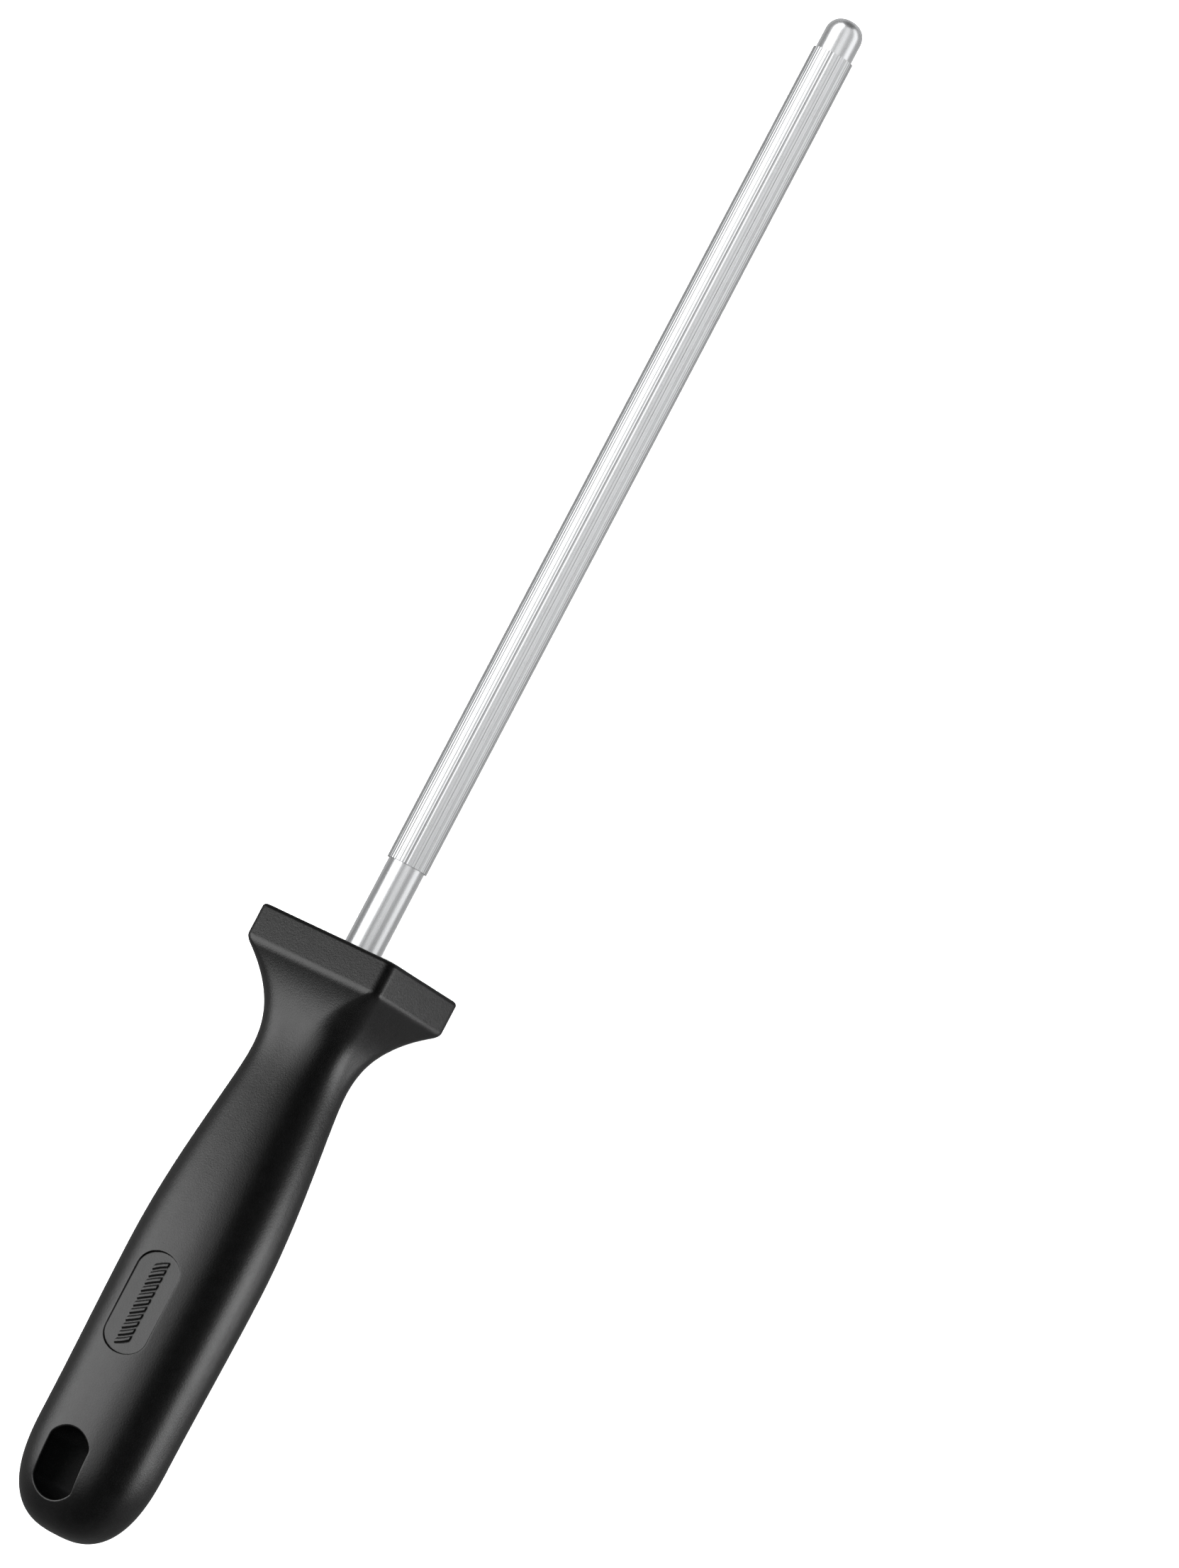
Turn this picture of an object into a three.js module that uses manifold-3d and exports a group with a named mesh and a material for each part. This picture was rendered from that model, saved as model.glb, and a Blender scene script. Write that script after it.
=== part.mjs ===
// Knife sharpening steel: a ribbed steel rod whose tang is moulded into a plastic handle.
// Millimetres. +X runs along the rod towards its tip and +Z is up. The steel lies with a wide
// face of its guard on z = 0, and the origin is under the middle of its length.

import * as THREE from 'three';
import { mergeVertices } from 'three/addons/utils/BufferGeometryUtils.js';
import Module from 'manifold-3d';

// Driving dimensions ---------------------------------------------------------------------

const GAP = 0.3; // clearance between pieces that are moulded on one another

const ROD_EXPOSED = 251.4; // from the guard's face to the tip
const SMOOTH_RADIUS = 4.7; // neck and tip
const NECK_LENGTH = 23.3; // from the guard to the ribs
const RIBBED_LENGTH = 218.7;
const RIBBED_RADIUS = 5.2; // over the crests of the ribs
const RIB_COUNT = 40;
const RIB_DEPTH = 0.2;
const TIP_DOME_HEIGHT = 4.2;

const TANG_LENGTH = 104; // inside the handle, from the guard's face
const TANG_SHOULDER = 22; // where the rod steps down to the tang
const TANG_RADIUS = 3.8;
const TANG_GROOVES = [34, 42, 92]; // where each turned groove starts
const TANG_GROOVE_LENGTH = 3.5;
const TANG_GROOVE_RADIUS = 2.9;
const TANG_FLATS = { start: 54, end: 80, halfThickness: 2.9 };

const HANDLE_LENGTH = 155;
const GUARD_LENGTH = 9.1;
const GUARD_HALF_WIDTH = 21.2;
const GUARD_HALF_THICKNESS = 16.4;
const GUARD_CORNER_RADIUS = 2.5;
const GUARD_EDGE_RADIUS = 0.9;
const GUARD_BACK_BLEND = 1.2; // how far the guard's rear edge rounds each way
const FLARE_END = 42.7; // where the flare behind the guard has run out into the grip
const CORNER_END = 33.2; // where the guard's corners have become the grip's rounding
const SWELL_START = 20.7;
const BELLY = 85.2;
const SHOULDER = 129.5; // where the butt starts to round off
const NARROW_SECTION = { halfWidth: 11.7, halfThickness: 9.6, exponent: 2.4 };
const BELLY_SECTION = { halfWidth: 17.5, halfThickness: 13.25, exponent: 2.4 };
const SHOULDER_SECTION = { halfWidth: 17.05, halfThickness: 12.8, exponent: 2.4 };
const FLARE_POWER = 3.35;
const CORNER_POWER = 2; // how fast the guard's corners soften along the flare
const SWELL_POWER = 1.5;
const BUTT_POWER = 2.635;

const SLOT = { centre: 139.4, width: 12, length: 17.5, endRadius: 7 };
const MEDALLION = { centre: 97.5, halfWidth: 6.5, halfLength: 13, endHeight: 4.9, depth: 0.9 };
const MARK = { count: 11, pitch: 2, width: 0.8, length: 4.5, slant: 0.5, relief: 0.4 };

const CORE = { start: 16, end: 118, skin: 4.5 }; // skin: how deep it lies under the surface

const ROUND_SEGMENTS = 40;

const LENGTH = ROD_EXPOSED + HANDLE_LENGTH;
const GUARD_FACE_X = LENGTH / 2 - ROD_EXPOSED;
const AXIS_HEIGHT = GUARD_HALF_THICKNESS;

// Solids ---------------------------------------------------------------------------------

const wasm = await Module();
wasm.setup();

function solid(geometry) {
  const bare = geometry.clone();
  bare.deleteAttribute('normal');
  bare.deleteAttribute('uv');
  const merged = mergeVertices(bare, 1e-4);
  return new wasm.Manifold(new wasm.Mesh({
    numProp: 3,
    vertProperties: new Float32Array(merged.attributes.position.array),
    triVerts: new Uint32Array(merged.index.array),
  }));
}

function geometryOf(manifold) {
  const { vertProperties, triVerts } = manifold.getMesh();
  const geometry = new THREE.BufferGeometry();
  geometry.setAttribute('position', new THREE.BufferAttribute(vertProperties, 3));
  geometry.setIndex(new THREE.BufferAttribute(triVerts, 1));
  geometry.computeVertexNormals();
  return geometry;
}

function steps(count) {
  return Array.from({ length: count + 1 }, (_, i) => i / count);
}

// A closed body through rings that all have the same number of points.
function loft(rings) {
  const around = rings[0].length;
  const points = rings.flat();
  const faces = [];
  for (let row = 0; row < rings.length - 1; row += 1) {
    for (let i = 0; i < around; i += 1) {
      const here = row * around + i;
      const next = row * around + ((i + 1) % around);
      faces.push(next, here, here + around);
      faces.push(next, here + around, next + around);
    }
  }
  const close = (row, order) => {
    const centre = new THREE.Vector3();
    rings[row].forEach((point) => centre.addScaledVector(point, 1 / around));
    points.push(centre);
    for (let i = 0; i < around; i += 1) {
      const edge = [row * around + i, row * around + ((i + 1) % around)];
      faces.push(edge[order], edge[1 - order], points.length - 1);
    }
  };
  close(0, 0);
  close(rings.length - 1, 1);
  const geometry = new THREE.BufferGeometry();
  geometry.setFromPoints(points);
  geometry.setIndex(faces);
  return geometry;
}

// A body turned about the rod's axis. A profile point's x is its radius, and its y is its
// place along the rod, from the guard's face towards the tip.
function turned(profile) {
  const geometry = new THREE.LatheGeometry(profile, ROUND_SEGMENTS);
  geometry.rotateZ(-Math.PI / 2);
  return geometry;
}

// A straight cut down through the handle, of an outline drawn in the plane of its wide face.
function plug(outline, bottom, top) {
  const settings = { depth: top - bottom, bevelEnabled: false, curveSegments: 10 };
  const geometry = new THREE.ExtrudeGeometry(outline, settings);
  geometry.translate(0, 0, bottom);
  return geometry;
}

// Steel rod --------------------------------------------------------------------------------

// The tang's outline from its inner end to its shoulder. A gap makes the space it sits in.
function tangProfile(gap) {
  const radius = TANG_RADIUS + gap;
  const profile = [new THREE.Vector2(0, -TANG_LENGTH - gap)];
  profile.push(new THREE.Vector2(radius, -TANG_LENGTH - gap));
  [...TANG_GROOVES].reverse().forEach((start) => {
    const inner = -start - TANG_GROOVE_LENGTH + gap;
    const outer = -start - gap;
    profile.push(new THREE.Vector2(radius, inner));
    profile.push(new THREE.Vector2(TANG_GROOVE_RADIUS + gap, inner));
    profile.push(new THREE.Vector2(TANG_GROOVE_RADIUS + gap, outer));
    profile.push(new THREE.Vector2(radius, outer));
  });
  profile.push(new THREE.Vector2(radius, -TANG_SHOULDER - gap));
  profile.push(new THREE.Vector2(SMOOTH_RADIUS + gap, -TANG_SHOULDER - gap));
  return profile;
}

// Takes the tang's two flats off a turned body.
function withFlats(body, gap) {
  const length = TANG_FLATS.end - TANG_FLATS.start - 2 * gap;
  const middle = -(TANG_FLATS.end + TANG_FLATS.start) / 2;
  const height = 4;
  return [-1, 1].reduce((left, side) => {
    const block = new THREE.BoxGeometry(length, 4 * TANG_RADIUS, height);
    block.translate(middle, 0, side * (TANG_FLATS.halfThickness + gap + height / 2));
    return left.subtract(solid(block));
  }, body);
}

function makeRod() {
  const domeStart = ROD_EXPOSED - TIP_DOME_HEIGHT;
  const profile = tangProfile(0);
  steps(8).forEach((step) => {
    const angle = (step * Math.PI) / 2;
    const radius = step < 1 ? SMOOTH_RADIUS * Math.cos(angle) : 0;
    profile.push(new THREE.Vector2(radius, domeStart + TIP_DOME_HEIGHT * Math.sin(angle)));
  });
  const bar = withFlats(solid(turned(profile)), 0);

  const ribs = new THREE.Shape();
  const ribStep = (2 * Math.PI) / RIB_COUNT;
  for (let i = 0; i < RIB_COUNT; i += 1) {
    [[-0.22, 0], [0.22, 0], [0.5, RIB_DEPTH]].forEach(([turn, depth]) => {
      const angle = (i + turn) * ribStep;
      const radius = RIBBED_RADIUS - depth;
      const draw = i + turn < 0 ? 'moveTo' : 'lineTo';
      ribs[draw](radius * Math.cos(angle), radius * Math.sin(angle));
    });
  }
  const ribbed = new THREE.ExtrudeGeometry(ribs, { depth: RIBBED_LENGTH, bevelEnabled: false });
  ribbed.rotateY(Math.PI / 2);
  ribbed.translate(NECK_LENGTH, 0, 0);
  return geometryOf(bar.add(solid(ribbed)));
}

// Handle -----------------------------------------------------------------------------------

// Size and roundness of the handle at a distance behind the guard's face.
function sectionAt(distance) {
  const { clamp, lerp, smoothstep } = THREE.MathUtils;
  const past = distance - GUARD_LENGTH;
  const rounded = (past + GUARD_BACK_BLEND) ** 2 / (4 * GUARD_BACK_BLEND);
  const nearEdge = past < -GUARD_BACK_BLEND ? 0 : rounded;
  const behind = past > GUARD_BACK_BLEND ? past : nearEdge;
  const left = (end) => clamp(1 - behind / (end - GUARD_LENGTH), 0, 1);
  const flare = left(FLARE_END) ** FLARE_POWER;
  const square = left(CORNER_END) ** CORNER_POWER;
  const along = clamp((distance - SWELL_START) / (BELLY - SWELL_START), 0, 1);
  const swell = Math.sin((Math.PI / 2) * along) ** SWELL_POWER;
  const settle = smoothstep(distance, BELLY, SHOULDER);
  const over = clamp((distance - SHOULDER) / (HANDLE_LENGTH - SHOULDER), 0, 1);
  const butt = (1 - over ** BUTT_POWER) ** (1 / BUTT_POWER);
  const grip = (size) => {
    const swelled = lerp(NARROW_SECTION[size], BELLY_SECTION[size], swell);
    return lerp(swelled, SHOULDER_SECTION[size], settle);
  };
  const corner = (half) => lerp(half * butt, GUARD_CORNER_RADIUS, square);
  return {
    halfWidth: lerp(grip('halfWidth'), GUARD_HALF_WIDTH, flare) * butt,
    halfThickness: lerp(grip('halfThickness'), GUARD_HALF_THICKNESS, flare) * butt,
    exponent: lerp(grip('exponent'), 2, square),
    cornerWidth: corner(grip('halfWidth')),
    cornerThickness: corner(grip('halfThickness')),
  };
}

// The points of one ring of the handle, set in from its surface by inset.
function ring(distance, inset) {
  const section = sectionAt(distance);
  const width = section.halfWidth - inset;
  const thickness = section.halfThickness - inset;
  const cornerWidth = section.cornerWidth * (width / section.halfWidth);
  const cornerThickness = section.cornerThickness * (thickness / section.halfThickness);
  const cornerSteps = 9;
  const quarter = [[width, 0]];
  steps(cornerSteps).forEach((step) => {
    const angle = (step * Math.PI) / 2;
    const across = step < 1 ? Math.cos(angle) ** (2 / section.exponent) : 0;
    const up = Math.sin(angle) ** (2 / section.exponent);
    quarter.push([
      width - cornerWidth * (1 - across),
      thickness - cornerThickness * (1 - up),
    ]);
  });
  const secondQuarter = quarter.toReversed().map(([y, z]) => [-y, z]);
  const upper = [...quarter, [0, thickness], ...secondQuarter];
  const lower = upper.slice(1, -1).reverse().map(([y, z]) => [y, -z]);
  return [...upper, ...lower].map(([y, z]) => new THREE.Vector3(-distance, y, z));
}

function handleSkin() {
  const rings = [];
  const edge = GUARD_EDGE_RADIUS;
  steps(3).forEach((step) => {
    const angle = (step * Math.PI) / 2;
    rings.push(ring(edge * (1 - Math.cos(angle)), edge * (1 - Math.sin(angle))));
  });
  const rearEdge = [GUARD_LENGTH - GUARD_BACK_BLEND, GUARD_LENGTH + GUARD_BACK_BLEND];
  const stretches = [[...rearEdge, 3], [rearEdge[1], FLARE_END, 9]];
  stretches.push([FLARE_END, BELLY, 7], [BELLY, SHOULDER, 4]);
  stretches.forEach(([start, end, count], index) => {
    steps(count).slice(index ? 1 : 0).forEach((step) => {
      rings.push(ring(start + (end - start) * step, 0));
    });
  });
  const buttSteps = 9;
  const buttEnd = HANDLE_LENGTH - 0.002; // the last ring stays just open, and is closed flat
  for (let i = 1; i <= buttSteps; i += 1) {
    const angle = (i / buttSteps) * (Math.PI / 2);
    rings.push(ring(SHOULDER + (buttEnd - SHOULDER) * Math.sin(angle), 0));
  }
  return solid(loft(rings));
}

// The core's outline. Making it larger by a gap gives the space that it fills in the handle.
function coreBody(gap) {
  const stations = 14;
  const start = CORE.start - gap;
  const end = CORE.end + gap;
  return solid(loft(steps(stations).map(
    (step) => ring(start + (end - start) * step, CORE.skin - gap),
  )));
}

// The hanging slot: straight sides with a shallow arc at each end.
function slotOutline() {
  const half = SLOT.width / 2;
  const arcCentre = SLOT.length / 2 - SLOT.endRadius;
  const corner = Math.asin(half / SLOT.endRadius);
  const outline = new THREE.Shape();
  outline.absarc(-SLOT.centre + arcCentre, 0, SLOT.endRadius, -corner, corner, false);
  outline.absarc(-SLOT.centre - arcCentre, 0, SLOT.endRadius, Math.PI - corner, Math.PI + corner, false);
  return outline;
}

// The medallion: straight sides with a half ellipse at each end.
function medallionOutline() {
  const { centre, halfWidth, halfLength, endHeight } = MEDALLION;
  const straight = halfLength - endHeight;
  const quarter = Math.PI / 2;
  const outline = new THREE.Shape();
  outline.absellipse(-centre + straight, 0, endHeight, halfWidth, -quarter, quarter, false);
  outline.absellipse(-centre - straight, 0, endHeight, halfWidth, quarter, 3 * quarter, false);
  return outline;
}

// One slanted bar of the plain mark that stands in the medallion.
function markBar(index, bottom, top) {
  const middle = -MEDALLION.centre + (index - (MARK.count - 1) / 2) * MARK.pitch;
  const height = top - bottom;
  const bar = new THREE.BoxGeometry(MARK.width, MARK.length, height);
  bar.rotateZ(MARK.slant);
  bar.translate(middle, 0, bottom + height / 2);
  return solid(bar);
}

function makeHandle() {
  const floor = BELLY_SECTION.halfThickness - MEDALLION.depth;
  const above = BELLY_SECTION.halfThickness + 1;
  let recess = solid(plug(medallionOutline(), floor, above));
  for (let i = 0; i < MARK.count; i += 1) {
    recess = recess.subtract(markBar(i, floor - 1, floor + MARK.relief));
  }
  recess = recess.add(solid(plug(medallionOutline(), floor + MARK.relief, above)));
  const slot = solid(plug(slotOutline(), -GUARD_HALF_THICKNESS, GUARD_HALF_THICKNESS));
  const boreLength = CORE.start + 2;
  const boreRadius = SMOOTH_RADIUS + GAP;
  const bore = new THREE.CylinderGeometry(boreRadius, boreRadius, boreLength, ROUND_SEGMENTS);
  bore.rotateZ(Math.PI / 2);
  bore.translate(1 - boreLength / 2, 0, 0);
  const hollow = coreBody(GAP).add(solid(bore));
  return geometryOf(handleSkin().subtract(hollow).subtract(slot).subtract(recess));
}

function makeCore() {
  const profile = tangProfile(GAP);
  profile.push(new THREE.Vector2(SMOOTH_RADIUS + GAP, 0));
  profile.push(new THREE.Vector2(0, 0));
  const tangSpace = withFlats(solid(turned(profile)), GAP);
  return geometryOf(coreBody(0).subtract(tangSpace));
}

// Assembly ---------------------------------------------------------------------------------

function piece(name, geometry, look) {
  const mesh = new THREE.Mesh(geometry, new THREE.MeshStandardMaterial(look));
  mesh.name = name;
  return mesh;
}

const steel = { color: 0xc4c6c8, metalness: 1, roughness: 0.22 };
const blackPlastic = { color: 0x17171a, metalness: 0, roughness: 0.5 };
const corePlastic = { color: 0x3a3a3c, metalness: 0, roughness: 0.7 };

const sharpeningSteel = new THREE.Group();
sharpeningSteel.position.set(GUARD_FACE_X, 0, AXIS_HEIGHT);
sharpeningSteel.add(
  piece('steel_rod', makeRod(), steel),
  piece('handle_core', makeCore(), corePlastic),
  piece('handle', makeHandle(), blackPlastic),
);

const model = new THREE.Group();
model.add(sharpeningSteel);

export default model;
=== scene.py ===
# Knife sharpening steel: the fine meshes, materials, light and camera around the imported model.
# Lengths in the shape code are millimetres, measured from the guard's face on the rod's axis.
import math

import bpy
import numpy as np
from mathutils import Matrix, Vector


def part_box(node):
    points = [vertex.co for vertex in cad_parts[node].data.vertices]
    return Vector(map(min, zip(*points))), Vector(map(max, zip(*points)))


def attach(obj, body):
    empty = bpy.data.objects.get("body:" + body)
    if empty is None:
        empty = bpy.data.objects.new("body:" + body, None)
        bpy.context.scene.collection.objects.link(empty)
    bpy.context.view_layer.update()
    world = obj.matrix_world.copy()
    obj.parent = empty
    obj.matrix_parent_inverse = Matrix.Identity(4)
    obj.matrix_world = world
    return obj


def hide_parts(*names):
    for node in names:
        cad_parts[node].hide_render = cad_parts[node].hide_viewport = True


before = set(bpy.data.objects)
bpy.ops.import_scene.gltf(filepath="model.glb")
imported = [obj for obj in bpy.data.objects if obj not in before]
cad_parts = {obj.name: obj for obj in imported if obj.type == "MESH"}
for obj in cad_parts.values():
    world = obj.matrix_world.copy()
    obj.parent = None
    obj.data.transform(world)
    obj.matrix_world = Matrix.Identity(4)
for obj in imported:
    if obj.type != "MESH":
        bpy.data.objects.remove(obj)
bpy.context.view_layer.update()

MM = 0.001

# Places and sizes that the frame gives --------------------------------------------------

HANDLE_LOW, HANDLE_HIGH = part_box("handle")
ROD_LOW, ROD_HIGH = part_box("steel_rod")
GUARD_FACE_X = HANDLE_HIGH.x
AXIS_Z = (HANDLE_LOW.z + HANDLE_HIGH.z) / 2
HANDLE_LENGTH = (HANDLE_HIGH.x - HANDLE_LOW.x) / MM
GUARD_HALF_WIDTH = (HANDLE_HIGH.y - HANDLE_LOW.y) / 2 / MM
GUARD_HALF_THICKNESS = (HANDLE_HIGH.z - HANDLE_LOW.z) / 2 / MM
ROD_EXPOSED = (ROD_HIGH.x - GUARD_FACE_X) / MM
TANG_LENGTH = (GUARD_FACE_X - ROD_LOW.x) / MM

# The rest of the model's driving dimensions ----------------------------------------------
# They are the CAD model's, except that its ribs are 0.2 deep, its bore is 5.0 in radius, its tip
# is a quarter ellipse and its slot and medallion have sharp rims.

SMOOTH_RADIUS = 4.7
NECK_LENGTH = 23.3
RIBBED_LENGTH = 218.7
RIBBED_RADIUS = 5.2
RIB_COUNT = 40
RIB_DEPTH = 0.07
TIP_DOME_HEIGHT = 4.2
TANG_SHOULDER = 22
TANG_RADIUS = 3.8
TANG_GROOVES = (34, 42, 92)
TANG_GROOVE_LENGTH = 3.5
TANG_GROOVE_RADIUS = 2.9
TANG_FLATS = (54, 80)
TANG_FLAT_HALF = 2.9

GUARD_LENGTH = 9.1
GUARD_CORNER_RADIUS = 2.5
GUARD_EDGE_RADIUS = 0.9
GUARD_BACK_BLEND = 1.2
FLARE_END = 42.7
CORNER_END = 33.2
SWELL_START = 20.7
BELLY = 85.2
SHOULDER = 129.5
NARROW = (11.7, 9.6, 2.4)  # half width, half thickness, exponent of the rounded corner
BELLY_SECTION = (17.5, 13.25, 2.4)
SHOULDER_SECTION = (17.05, 12.8, 2.4)
FLARE_POWER = 3.35
CORNER_POWER = 2.0
SWELL_POWER = 1.5
BUTT_POWER = 2.635

CORE_START = 16
CORE_END = 118
CORE_GAP = 0.3  # between the core and the space it sits in
CORE_SPACE_INSET = 4.2  # how deep that space lies under the surface
BORE_RADIUS = 4.8
BORE_LIP = 0.35  # radius of the bore's rounded mouth
TIP_FULLNESS = 0.85  # 1 would make the dome a quarter ellipse

SLOT_CENTRE = 139.4
SLOT_HALF_WIDTH = 6.0
SLOT_HALF_LENGTH = 8.75
SLOT_END_RADIUS = 7.0
SLOT_RIM = 0.45  # radius of the rounded edge
MEDALLION_CENTRE = 97.5
MEDALLION_HALF_WIDTH = 6.5
MEDALLION_HALF_LENGTH = 13.0
MEDALLION_END = 4.9
MEDALLION_DEPTH = 0.9
MEDALLION_RIM = 0.2  # radius of the rounded edge
MARK_COUNT = 11
MARK_PITCH = 2.0
MARK_HALF_LENGTH = 2.0  # across the handle, which makes a bar about 4.5 long on its slant
MARK_SLANT = 0.5  # radians
MARK_RELIEF = 0.4


# Mesh helpers ---------------------------------------------------------------------------

class Shell:
    """Vertices and faces of one body, in millimetres from the guard's face on the axis."""

    def __init__(self):
        self.points = []
        self.faces = []

    def add(self, points):
        first = len(self.points)
        self.points.extend(tuple(p) for p in points)
        return list(range(first, len(self.points)))

    def band(self, outer, inner):
        count = len(outer)
        for i in range(count):
            j = (i + 1) % count
            self.faces.append((outer[i], outer[j], inner[j], inner[i]))

    def cap(self, loop, centre):
        middle = self.add([centre])[0]
        count = len(loop)
        for i in range(count):
            self.faces.append((loop[i], loop[(i + 1) % count], middle))

    def build(self, name, material_names, material_of=None):
        mesh = bpy.data.meshes.new(name)
        points = np.array(self.points, float) * MM + np.array((GUARD_FACE_X, 0.0, AXIS_Z))
        mesh.from_pydata(points.tolist(), [], self.faces)
        for material_name in material_names:
            mesh.materials.append(bpy.data.materials[material_name])
        mesh.polygons.foreach_set("use_smooth", [True] * len(mesh.polygons))
        if material_of is not None:
            slots = [material_of(self.faces[i]) for i in range(len(self.faces))]
            mesh.polygons.foreach_set("material_index", slots)
        mesh.update()
        obj = bpy.data.objects.new(name, mesh)
        bpy.context.scene.collection.objects.link(obj)
        return obj


def smoothstep(value):
    value = np.clip(value, 0.0, 1.0)
    return value * value * (3 - 2 * value)


# Handle ---------------------------------------------------------------------------------

def section(distance):
    """Half width, half thickness, corner sizes and exponent at a distance behind the guard."""
    distance = np.asarray(distance, float)
    past = distance - GUARD_LENGTH
    blend = GUARD_BACK_BLEND
    eased = np.where(past < -blend, 0.0, np.where(past > blend, past, (past + blend) ** 2 / (4 * blend)))
    flare = np.clip(1 - eased / (FLARE_END - GUARD_LENGTH), 0.0, 1.0) ** FLARE_POWER
    square = np.clip(1 - eased / (CORNER_END - GUARD_LENGTH), 0.0, 1.0) ** CORNER_POWER
    along = np.clip((distance - SWELL_START) / (BELLY - SWELL_START), 0.0, 1.0)
    swell = np.sin(math.pi / 2 * along) ** SWELL_POWER
    settle = smoothstep((distance - BELLY) / (SHOULDER - BELLY))
    over = np.clip((distance - SHOULDER) / (HANDLE_LENGTH - SHOULDER), 0.0, 1.0)
    butt = (1 - over ** BUTT_POWER) ** (1 / BUTT_POWER)
    grip = [
        n + (b - n) * swell + (s - b) * settle
        for n, b, s in zip(NARROW, BELLY_SECTION, SHOULDER_SECTION)
    ]
    half_width = (grip[0] + (GUARD_HALF_WIDTH - grip[0]) * flare) * butt
    half_thick = (grip[1] + (GUARD_HALF_THICKNESS - grip[1]) * flare) * butt
    exponent = grip[2] + (2 - grip[2]) * square
    corner_width = grip[0] * butt * (1 - square) + GUARD_CORNER_RADIUS * square
    corner_thick = grip[1] * butt * (1 - square) + GUARD_CORNER_RADIUS * square
    return half_width, half_thick, corner_width, corner_thick, exponent


def height(distance, across):
    """Height of the upper surface over the axis."""
    half_width, half_thick, corner_width, corner_thick, exponent = section(distance)
    reach = np.clip((np.abs(across) - (half_width - corner_width)) / corner_width, 0.0, 1.0)
    return half_thick - corner_thick * (1 - (1 - reach ** exponent) ** (1 / exponent))


QUARTER = 60  # points in a quarter of the outline
DENSE_CORNER = 700  # points that the corner is first drawn with
DENSE_FLAT = 60
SAME_POINT = 1e-6  # points closer together than this count as one
LENGTH_STEP = 0.9  # this length counts as much as one TURN_STEP when points are spread
TURN_STEP = math.radians(6)


def quarter_outline(distance, inset=0.0):
    """A quarter of the cross-section, from the side to the top, closer together in the corner."""
    half_width, half_thick, corner_width, corner_thick, exponent = (float(v) for v in section(distance))
    width, thick = half_width - inset, half_thick - inset
    corner_width *= width / half_width
    corner_thick *= thick / half_thick
    angle = np.linspace(0, math.pi / 2, DENSE_CORNER)
    arc_y = width - corner_width * (1 - np.cos(angle).clip(0, 1) ** (2 / exponent))
    arc_z = thick - corner_thick * (1 - np.sin(angle).clip(0, 1) ** (2 / exponent))
    flat = np.linspace(0, 1, DENSE_FLAT)
    side = np.full(DENSE_FLAT - 1, width)
    top = np.full(DENSE_FLAT - 1, thick)
    y = np.concatenate((side, arc_y, (width - corner_width) * (1 - flat[1:])))
    z = np.concatenate(((thick - corner_thick) * flat[:-1], arc_z, top))
    moved = np.concatenate(((True,), np.hypot(np.diff(y), np.diff(z)) > SAME_POINT))
    y, z = y[moved], z[moved]
    step = np.hypot(np.diff(y), np.diff(z))
    heading = np.unwrap(np.arctan2(np.diff(z), np.diff(y)))
    turn = np.abs(np.diff(heading, prepend=heading[0]))
    measure = np.concatenate(((0,), np.cumsum(step / LENGTH_STEP + turn / TURN_STEP)))
    places = np.linspace(0, measure[-1], QUARTER + 1)
    return np.interp(places, measure, y), np.interp(places, measure, z)


def full_ring(distance, inset=0.0):
    """The cross-section as points that go round from +Y over +Z."""
    y, z = quarter_outline(distance, inset)
    ys = np.concatenate((y[:-1], -y[::-1][:-1], -y[:-1], y[::-1][:-1]))
    zs = np.concatenate((z[:-1], z[::-1][:-1], -z[:-1], -z[::-1][:-1]))
    return np.column_stack((np.full(len(ys), -float(distance)), ys, zs))


def circle_ring(distance, radius, like):
    """A circle with as many points as the ring that it is like, evenly spread."""
    share = np.arange(len(like)) / len(like) * 2 * math.pi
    return np.column_stack((np.full(len(like), -distance), radius * np.cos(share), radius * np.sin(share)))


# A block is a stretch of the handle's grid that is cut out for the slot or the medallion.
SLOT_MARGIN_COLUMNS = 21  # on each side of the middle
SLOT_ROWS = 40
SLOT_BLOCK = (128.6, 150.6)
MEDALLION_COLUMNS = 18  # on each side of the middle
MEDALLION_BLOCK = (MEDALLION_CENTRE - 15, MEDALLION_CENTRE + 15)
MEDALLION_PLAIN_COLUMNS = (11.1, 11.8, 12.4, MEDALLION_HALF_LENGTH)  # past the mark's last bar
# One bar of the mark: places along the handle from its middle, and shares of its relief there.
MARK_EDGE = ((-0.5, 0.0), (-0.41, 0.9), (-0.31, 1.0), (0.31, 1.0), (0.41, 0.9), (0.5, 0.0))
MARK_END_STEP = 0.1  # between the rows where a bar's end rises
# The medallion's grid leans with the bars in its middle and not at its edge.
LEAN_ROW_LIMIT = 0.62  # share of the half width
LEAN_ROW_FADE = 0.25
LEAN_COLUMN_LIMIT = 12.6
LEAN_COLUMN_FADE = 2.2
BUTT_TIP_INSET = 0.0005  # keeps the last ring from shrinking to a point
# How many rings each stretch of the handle is given, from the guard to the butt.
RING_COUNTS = {"guard": 8, "guard_back": 18, "flare": 60, "grip": 64, "shoulder": 28, "butt": 26}


def mark_columns():
    """Places along the medallion, from its centre, and the share of the mark's relief there."""
    columns = [(-place, 0.0) for place in reversed(MEDALLION_PLAIN_COLUMNS)]
    for bar in range(MARK_COUNT):
        middle = (bar - (MARK_COUNT - 1) / 2) * MARK_PITCH
        columns += [(middle + offset, share) for offset, share in MARK_EDGE]
    return np.array(columns + [(place, 0.0) for place in MEDALLION_PLAIN_COLUMNS])


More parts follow.
